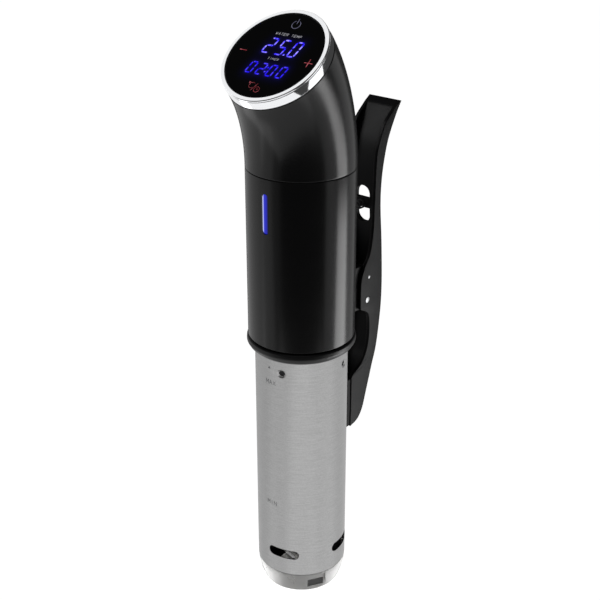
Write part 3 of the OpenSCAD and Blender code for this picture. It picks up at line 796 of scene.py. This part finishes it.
def makeSleeve():
    # wall rows crowd together at the dimples; each dimple pushes the wall in by depth sqrt(1 - (d/r)^2)
    low, high = sleeveLow[2], sleeveHigh[2]
    z0 = sleeve["dimpleZ"]
    rows = np.r_[np.linspace(low + 0.5, z0 - 4, 24), np.linspace(z0 - 3.3, z0 + 3.3, 22),
                 np.linspace(z0 + 4, high - 0.4, 5)]
    r0, r1 = sleeveR - sleeve["wall"], sleeveR
    outer = np.stack([r1 + 0*rows, rows], -1)
    inner = np.stack([r0 + 0*rows, rows], -1)[::-1]
    bottomEdge = [(r0, low + 0.2), (r0 + 0.15, low), (r1 - 0.15, low), (r1 - 0.03, low + 0.12)]
    topEdge = [(r1 - 0.05, high - 0.1), (r1 - 0.2, high), (r0 + 0.2, high), (r0, high - 0.1)]
    profile = np.vstack([bottomEdge, outer, topEdge, inner])
    obj = turned("sleeve_tube", profile, around=360, smoothAngle=50)
    where = pointsMm(obj)
    for out, across in quarters:
        distance = np.hypot(where @ across, where[:, 2] - z0)
        near = (distance < sleeve["dimpleR"]) & (where @ out > 0)
        where[near] -= out*(sleeve["dimpleDeep"]*np.sqrt(1 - (distance[near]/sleeve["dimpleR"])**2))[:, None]
    obj.data.vertices.foreach_set("co", (where*mm).ravel())
    obj.data.update()
    half = sleeveR*math.sin(math.radians(sleeve["slotArc"]/2))
    slot = stadium(half, sleeve["slotHigh"]/2, 24)
    cutAway(obj, [prism("cutter", slot, out*15 + [0, 0, sleeve["slotZ"]], across, (0, 0, 1), 20)
                  for out, across in quarters], 50)
    trueRound(obj, sleeveR, low + 0.4, z0 - 4)
    finishPiece(obj, "sleeve", "brushed_sleeve", "sleeve", "sleeve")
    # the tube's inner wall takes the dark steel: painted shade inside the tube
    obj.data.materials.append(finishes["sleeveShade"])
    centres = centresMm(obj)
    inside = np.linalg.norm(centres[:, :2], axis=1) < r0 + 0.02
    inside &= abs(centres[:, 2] - z0) > sleeve["dimpleR"]
    for out, across in quarters:
        # the pressed pits get the dark inner steel too: painted shade in the pits
        inside |= np.hypot(centres @ across, centres[:, 2] - z0) < sleeve["pitShadeR"]
    obj.data.polygons.foreach_set("material_index", inside.astype(np.int32))
    return obj


# where each level mark stands: its turn from the front in degrees, and its height
levelPen = dict(high=2.8, wide=1.9, pitch=2.7, width=0.32)
levelAt = dict(maxWord=(-1.8, 153.4), maxLine=(-1.8, 147.0), minWord=(-2.5, 66.8), minLine=(-2.5, 62.6),
               arrow=(-3.7, 163.2))


def makeLevelMarks():
    line = strokeShapes([(-3.7, 0), (3.7, 0)], 0.35)
    shapesOf = dict(maxWord=letterStrokes("MAX", -3.6, -1.4, **levelPen), maxLine=line,
                    minWord=letterStrokes("MIN", -3.4, -1.4, **levelPen), minLine=line,
                    arrow=[np.array([(-1.0, -0.8), (1.0, -0.8), (0, 1.0)])])
    shapes = []
    for key, (turn, z) in levelAt.items():
        shapes += [shape + [math.radians(turn)*sleeveR, z] for shape in shapesOf[key]]
    obj = plates("level_marks", shapes, onSleeve, -0.05, 0.03)
    return finishPiece(obj, "sleeve", "brushed_sleeve", "etched")


cap = dict(slots=12, slotAt=14.2, recessTurn=59.0, recessAt=25.1, pocketAt=24.8, slope=0.1148,
           pocketHalf=5.4, pocketLow=3.7, pocketHigh=9.6, shadeLiningFrom=16.6)


def makeCap():
    rows = [(0.001, 0), (23.6, 0, 0.4), (25.2, 0.6, 1.2), (26.9, 5.5, 6), (28.15, 11.5, 6), (28.35, 14.7, 0.3),
            (27.55, 14.9, 0.2), (27.5, 21.9, 0.4), (25.8, 21.9, 0.4), (25.9, 12, 3), (24.9, 4.6, 3), (23.2, 2.3, 1),
            (16.5, 2.3), (0.001, 2.3)]
    obj = turned("clear_end_cap", softened(rows, closed=False), around=192, closed=False)
    cutters = []
    for k in range(cap["slots"]):
        back, across = facing(2*math.pi*(k + 0.5)/cap["slots"])
        cutters.append(prism("cutter", stadium(6, 1.1, 8), across*cap["slotAt"] - [0, 0, 2], across, -back, 8))
    recess = [(-7.8, -1), (7.8, -1), (6.3, 14.0), (-6.3, 14.0)]
    half, low, high = cap["pocketHalf"], cap["pocketLow"], cap["pocketHigh"]
    pocket = [(-half, low), (half, low), (half, high), (-half, high)]
    sides = [facing(math.radians(cap["recessTurn"] + turn)) for turn in (0, 180)]
    for out, across in sides:
        rise = np.array([0, 0, 1]) + cap["slope"]*out
        rise /= np.linalg.norm(rise)
        cutters.append(prism("cutter", recess, out*cap["recessAt"], across, rise, 6))
        cutters.append(prism("cutter", pocket, out*cap["pocketAt"], across, rise, 12))
    cutAway(obj, cutters)
    finishPiece(obj, "cap", "clear_cap", "clear", "end_cap")
    obj.data.materials.append(finishes["capShade"])
    # a dark lining, painted shade inside the clear cap, covers the inner wall, the floor's outer ring and the sides of
    # the inlet slots
    centres = centresMm(obj)
    z = centres[:, 2]
    skin = np.interp(z, [2.2, 4.6, 12, 22], [23.6, 24.9, 25.9, 25.8]) + 0.25
    reach = np.linalg.norm(centres[:, :2], axis=1)
    inside = (reach < skin) & (reach > cap["shadeLiningFrom"]) & (z > 2.2)
    inside |= (reach < 21) & (z > 0.05) & (z < 2.25)
    for out, across in sides:
        # the pocket's floor shows the painted shade lining through its thin wall
        depth = centres @ out - cap["slope"]*z
        inside |= (abs(depth - cap["pocketAt"]) < 0.1) & (abs(centres @ across) < half) & (z < high)
    obj.data.polygons.foreach_set("material_index", inside.astype(np.int32))
    return obj


leverShape = dict(web=3.6, cheek=2.3, backRound=0.8, edgeRound=0.5, fillet=1.2, hollowEnd=103.0, hollowFade=8,
                  slotHalf=5.3, slotHigh=24.3, slotMid=242.35, barLow=-2.8, barHigh=3.4, gripShare=0.59,
                  archShare=0.19, jawY=36.6)
# the lever's side outline as (y, z) knots: its back, its grip, the arch over the rim, and the jaw below
backKnots = [(83.2, 305.2), (77.7, 297.2), (70.6, 284), (66.6, 270.3), (64.6, 257), (64.4, 242), (66.6, 217),
             (68, 190), (67.2, 170), (63.6, 147), (59.1, 133.4), (53.8, 117.3), (50.2, 106.5), (46.7, 101),
             (42.5, 98.2), (36.6, 97)]
gripKnots = [(82, 305.8), (74, 300.8), (66.6, 294.5), (61.3, 284.6), (58.6, 274.6), (57.6, 247), (56.9, 228),
             (54.2, 214.3), (48.7, 205.7), (45.3, 197.5), (44.9, 187), (45.1, 178)]
archKnots = [(45.1, 178), (51.6, 174.2), (54.3, 169.8), (54.8, 158), (52.3, 146.3), (46.3, 138.4), (38.4, 134.5),
             (36.6, 132.6)]


def makeLever():
    # a channel section carried down the lever: at each station a line runs from the back edge to
    # the front edge, and the section is web, two cheeks and rounded corners between them
    grip = evenly(spline(gripKnots, 12), 120)
    arch = evenly(spline(archKnots, 12), 70)
    jaw = np.stack([np.full(30, leverShape["jawY"]), np.linspace(132.4, 97.4, 30)], -1)
    front = np.vstack([grip, arch, jaw])
    back = spline(backKnots, 24)
    toArch, archPart = leverShape["gripShare"], leverShape["archShare"]
    toJaw = toArch + archPart
    share = np.r_[np.linspace(0, 1, 120)*toArch, toArch + np.linspace(0, 1, 70)*archPart,
                  toJaw + np.linspace(0.01, 1, 30)*(1 - toJaw)]
    steps = np.r_[0, np.cumsum(np.linalg.norm(np.diff(back, axis=0), axis=1))]
    backAt = np.stack([np.interp(share*steps[-1], steps, back[:, k]) for k in (0, 1)], -1)
    inward = front - backAt
    thick = np.linalg.norm(inward, axis=1)
    inward /= thick[:, None]
    half = leverHigh[0]
    inside = half - leverShape["cheek"]
    closing = np.clip((backAt[:, 1] - leverShape["hollowEnd"])/leverShape["hollowFade"], 0, 1)
    hollow = np.maximum(thick - leverShape["web"], 0)*closing**0.5
    floorAt = thick - hollow
    rb = np.minimum(leverShape["backRound"], thick*0.45)
    re = np.minimum(leverShape["edgeRound"], (thick - floorAt)*0.4 + 0.02)
    rf = np.minimum(leverShape["fillet"], (thick - floorAt)*0.4 + 0.02)
    # half a section as (x, depth from the back) pairs, from the middle of the web outwards and round
    quarter = [(1 - math.sin(a), 1 - math.cos(a)) for a in np.linspace(0, np.pi/2, 6)]
    sections = [(half - rb*s, rb*c) for s, c in quarter]
    sections += [(half - re*c, thick - re*s) for s, c in quarter]
    sections += [(inside + re*s, thick - re*c) for s, c in quarter]
    sections += [(inside - rf*c, floorAt + rf*s) for s, c in quarter]
    zero = np.zeros_like(thick)
    right = [(zero, zero)] + sections + [(zero, floorAt)]
    loop = right + [(-x, d) for x, d in sections[::-1]]
    grid = np.stack([np.stack([x, *(backAt + d[:, None]*inward).T], -1) for x, d in loop], 1)
    obj = meshObject("clamp_lever_moulding", grid.reshape(-1, 3), tubeFaces(*grid.shape[:2]), 32)
    # the window is a slot with a bar left across it, where the spring pushes
    z, side = springAxis, leverShape["slotHalf"]
    full = stadium(leverShape["slotHigh"]/2, side, 16) + [leverShape["slotMid"] - z, 0]
    bar0, bar1 = leverShape["barLow"], leverShape["barHigh"]
    top = [p for p in full.tolist() if p[0] > bar1] + [(bar1, side), (bar1, -side)]
    low = [p for p in full.tolist() if p[0] < bar0] + [(bar0, -side), (bar0, side)]
    cutters = [prism("cutter", outline, (0, 75, z), (0, 0, 1), (1, 0, 0), -30) for outline in (top, low)]
    ring = np.linspace(0, 2*np.pi, 40, endpoint=False)
    for low, high in ((pivotLow, pivotHigh), (stopLow, stopHigh)):
        r = (high[2] - low[2])/2 + 0.12
        circle = ((low + high)/2)[1:] + r*np.stack([np.cos(ring), np.sin(ring)], -1)
        for side in (-1, 1):
            cutters.append(prism("cutter", circle, (side*(half - 0.6), 0, 0), (0, 1, 0), (0, 0, 1), 3*side))
    cutAway(obj, cutters, 32)
    return finishPiece(obj, "lever", "clamp_plastic", "lever", "clamp_lever")


def makePins():
    for name, low, high, body, node in [("pivot_pin_turned", pivotLow, pivotHigh, "housing", "pivot_pin"),
                                        ("stop_pin_turned", stopLow, stopHigh, "lever", "stop_pin")]:
        r, reach = (high[2] - low[2])/2, leverHigh[0] + 0.02
        path = onAxis((low + high)/2*[0, 1, 1], (0, 1, 0), (0, 0, 1))
        rows = softened([(0.001, -reach), (r, -reach, 0.3), (r, reach, 0.3), (0.001, reach)], closed=False)
        obj = turned(name, rows, path, around=48, closed=False)
        finishPiece(obj, body, "pin_steel", "pin", node)


coil = dict(turns=8, wire=0.45, radius=2.7, closedTurn=0.9, kept=0.36)


def makeSpring():
    # wire swept along a helix: centre = (R cos a, y0 + length t, R sin a), with a closed turn at each end
    turns, thin, end = coil["turns"], coil["wire"], coil["closedTurn"]
    count = turns*40 + 1
    t = np.linspace(0, 1, count)*turns
    rise = np.clip((t - end)/(turns - 2*end), 0, 1)
    ends = 2*thin*(np.clip(t, 0, end) + np.clip(t - turns + end, 0, end))
    y0, y1 = springLow[1] + thin, springHigh[1] - thin
    y = y0 + ends + rise*(y1 - y0 - ends[-1])
    a = 2*np.pi*t
    radial = np.stack([np.cos(a), 0*a, np.sin(a)], -1)
    centre = coil["radius"]*radial + np.stack([0*a, y, springAxis + 0*a], -1)
    b = np.linspace(0, 2*np.pi, 12, endpoint=False)
    c, s = np.cos(b)[None, :, None], np.sin(b)[None, :, None]
    wire = centre[:, None] + thin*(c*radial[:, None] + s*np.array([0, 1.0, 0]))
    obj = meshObject("clamp_spring_coil", wire.reshape(-1, 3), tubeFaces(count, 12), 60)
    finishPiece(obj, "housing", "spring_steel", "spring", "clamp_spring")
    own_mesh(obj)


seat = dict(foot=31.5, radius=5.0, bore=3.75)


def makeSeat():
    path = onAxis((0, 0, (seatLow[2] + seatHigh[2])/2), (0, 0, 1), (1, 0, 0))
    foot, r, bore = seat["foot"], seat["radius"], seat["bore"]
    rim, floorAt = seatHigh[1], springLow[1] - 0.05
    rows = [(0.001, foot), (r, foot, 0.1), (r, rim, 0.5), (bore, rim, 0.3), (bore, floorAt, 0.4), (0.001, floorAt)]
    obj = turned("spring_seat_cup", softened(rows, closed=False), path, around=64, closed=False)
    finishPiece(obj, "housing", "clamp_plastic_dark", "bracket", "spring_seat")


gland = dict(turn=19.0, bore=3.4)


def makeGland():
    a = math.radians(gland["turn"])
    out = np.array([0, math.cos(a), math.sin(a)])
    origin = np.array([0, -neck["bend"], neck["startZ"]]) + out*(neck["bend"] + bodyR)
    along = np.array([0, -math.sin(a), math.cos(a)])
    path = onAxis(origin, along, (1, 0, 0))
    b = gland["bore"]
    rows = [(b, -2, 0), (b, 8.4, 0.4), (5.0, 8.4, 0.5), (5.35, 7.2, 0.2), (4.7, 7.0, 0.2), (4.8, 6.0, 0.2),
            (5.7, 5.8, 0.2), (5.85, 4.9, 0.2), (5.1, 4.7, 0.2), (5.2, 3.7, 0.2), (6.3, 3.5, 0.3), (7.1, 2.9, 0.6),
            (7.2, -0.9, 0.2), (5.6, -1, 0.1), (5.6, -5, 0.2), (0.001, -5), (0.001, -2)]
    obj = turned("cable_gland_boot", softened(rows), path, around=96)
    finishPiece(obj, "housing", "gland_rubber", "gland", "cable_gland")


makeBarrel()
makeLightBar()
makeHead()
makeCollar()
makeBezel()
makeDisplay()
print("housing and display made")
makeSleeve()
makeLevelMarks()
makeCap()
print("sleeve and cap made")
makeLever()
makePins()
makeSpring()
makeSeat()
makeGland()
print("clamp and gland made")


# nodes that keep their own shape, by finish
kept = {
    "inner": ["sleeve_mount", "shaft_support", "motor_mount", "motor_end_cap", "display_carrier", "buzzer",
              "gland_nut"],
    "bracket": ["clamp_bracket"],
    "rubber": ["flange_seal", "shaft_seal", "seam_gasket", "jaw_pad"],
    "steel": ["heater_flange", "temperature_probe", "level_electrodes", "shaft_tube", "drive_shaft"],
    "heater": ["heater_element"],
    "ceramic": ["electrode_insulators"],
    "bronze": ["shaft_bushes", "motor_bearings"],
    "impeller": ["impeller"],
    "brass": ["shaft_coupling"],
    "screw": ["base_screws", "motor_screws", "motor_can", "bracket_screws", "bracket_nut_plate", "touch_springs"],
    "magnet": ["motor_magnets"],
    "copper": ["motor_rotor"],
    "board": ["main_board", "light_bar_board", "display_board"],
    "transformer": ["transformer"],
    "capacitor": ["capacitors"],
    "relay": ["relay"],
    "aluminium": ["heat_sink"],
    "digits": ["temperature_digits", "timer_digits"],
}
for finish, names in kept.items():
    for name in names:
        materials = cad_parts[name].data.materials
        if not len(materials):
            materials.append(finishes[finish])
        for k in range(len(materials)):
            materials[k] = finishes[finish]


studio = dict(floorRadius=8.0, floorGlow=0.97, footGlow=0.06, footFrom=20, footTo=24, sky=0.05,
              throughGlass=0.95, front=39)


def makeFloor():
    a = np.linspace(0, 2*np.pi, 96, endpoint=False)
    rings = np.array([0.001, 0.3, 1, 3, studio["floorRadius"]])
    x, y = rings[:, None]*np.cos(a), rings[:, None]*np.sin(a)
    points = np.stack([x, y, 0*x - 0.0002], -1).reshape(-1, 3)
    mesh = bpy.data.meshes.new("floor")
    mesh.from_pydata(points.tolist(), [], gridFaces(len(rings), 96, False, True).tolist())
    floor = placed("floor", mesh)
    material, tree, shader, place = newMaterial(
        "pale_floor", "#FAFAFA", 0.35, Emission_Color=srgb("#FFFFFF"),
        Emission_Strength=studio["floorGlow"])
    # the floor is in the cap's shade: its glow falls away inside the cap's foot
    far = addNode(tree, "VectorMath", [(0, place, "Object")], operation="LENGTH")
    shade = addNode(tree, "MapRange", [("Value", far, "Value")], **{
        "From Min": studio["footFrom"]*mm, "From Max": studio["footTo"]*mm,
        "To Min": studio["footGlow"], "To Max": studio["floorGlow"]})
    feed(shader, "Emission Strength", shade, "Result")
    mesh.materials.append(material)
    floor.visible_glossy = False
    floor.visible_diffuse = False
    floor.visible_shadow = False


def softBox(name, turn, distance, height, wide, high, glow, lit=None):
    # an upright panel that faces the object's middle; turn is measured from the front towards +X,
    # glow is the panel's brightness, and lit names the pieces it lights
    data = bpy.data.lights.new(name, "AREA")
    data.shape = "RECTANGLE"
    data.size, data.size_y = wide, high
    data.energy = glow*math.pi*wide*high
    light = placed(name, data)
    light.location = facing(math.radians(turn))[0]*distance + [0, 0, height]
    light.rotation_euler = (Vector((0, 0, 0.2)) - light.location).to_track_quat("-Z", "Y").to_euler()
    light.visible_camera = False
    light.visible_transmission = False
    if lit:
        receivers = bpy.data.collections.new(name + "_lit")
        for obj in lit:
            receivers.objects.link(obj)
        light.light_linking.receiver_collection = receivers
    return light


# pieces with lights of their own: each list is lit by its own panels, and every other piece by the rest
ownLight = dict(brushed=["sleeve_tube", "level_marks", "impeller", "drive_shaft"],
                shiny=["chrome_bezel_ring"], milky=["clear_end_cap"])


def makeLight():
    world = bpy.data.worlds.new("studio")
    world.use_nodes = True
    tree = world.node_tree
    background = tree.nodes["Background"]
    background.inputs["Color"].default_value = (1, 1, 1, 1)
    rays = addNode(tree, "LightPath")
    through = addNode(tree, "MapRange", [("Value", rays, "Is Transmission Ray")], **{
        "To Min": studio["sky"], "To Max": studio["throughGlass"]})
    strength = addNode(
        tree, "Math", [(0, through, "Result"), (1, rays, "Is Camera Ray")], operation="MAXIMUM")
    tree.links.new(strength.outputs["Value"], background.inputs["Strength"])
    bpy.context.scene.world = world
    meshes = [o for o in bpy.context.scene.objects if o.type == "MESH" and o.name != "floor"]
    brushed, shiny, milky = ([o for o in meshes if o.name in names] for names in ownLight.values())
    plain = [o for o in meshes if o not in brushed + shiny + milky]
    lever = [o for o in plain if o.name == "clamp_lever_moulding"]
    # each panel's name, turn, distance, height above the floor, own width and height, glow, and what it lights
    for panel in (
        ("left_soft", -85, 1.3, -0.2, 1.9, 2.0, 0.48, plain),
        ("left_front", -34.9, 1.3, -0.2, 0.65, 2.0, 0.4, plain),
        ("left_edge", -12, 1.3, -0.2, 0.4, 2.0, 0.12, plain),
        ("right_dim", 100, 1.3, -0.2, 0.5, 2.0, 0.4, plain),
        ("right_strip", 131, 1.2, -0.6, 0.7, 1.1, 4.0, plain),
        ("right_back", 165, 1.3, -0.25, 0.8, 1.9, 0.4, plain),
        ("low_fill", studio["front"], 0.1, -1.0, 2.6, 2.6, 0.5, plain),
        ("scoop_fill", -40, 1.0, 0.92, 0.6, 0.8, 5.0, lever),
    ):
        softBox(*panel)
    for k, glow in enumerate([0.86, 0.8, 0.66, 0.75, 0.6, 0.68]):
        softBox(f"ring_{k}", studio["front"] + 60*k, 1.4, -0.3 if k < 4 else -0.5, 1.45, 2.4, glow, brushed)
    for name, turn, glow in (("cap_left", -65, 3.2), ("cap_right", 143, 3.2), ("cap_front", studio["front"], 0.7)):
        softBox(name, turn, 1.3, -0.5, 1.9, 2.0, glow, milky)
    softBox("shiny_top", 267, 0.8, 1.3, 2.2, 2.2, 0.88, shiny)
    softBox("shiny_strip", 124, 1.2, 0.0, 0.56, 1.2, 1.2, shiny)
    softBox("shiny_left", -95, 1.2, -0.1, 2.0, 2.0, 0.85, shiny)
    low = softBox("shiny_low", -90, 0.17, -0.85, 2.25, 2.2, 0.92, shiny)
    low.rotation_euler = (math.pi, 0, 0)
    softBox("top_soft", 20, 0.6, 1.8, 1.2, 1.2, 0.2)


makeFloor()
makeLight()
bpy.context.scene.view_settings.view_transform = "Standard"
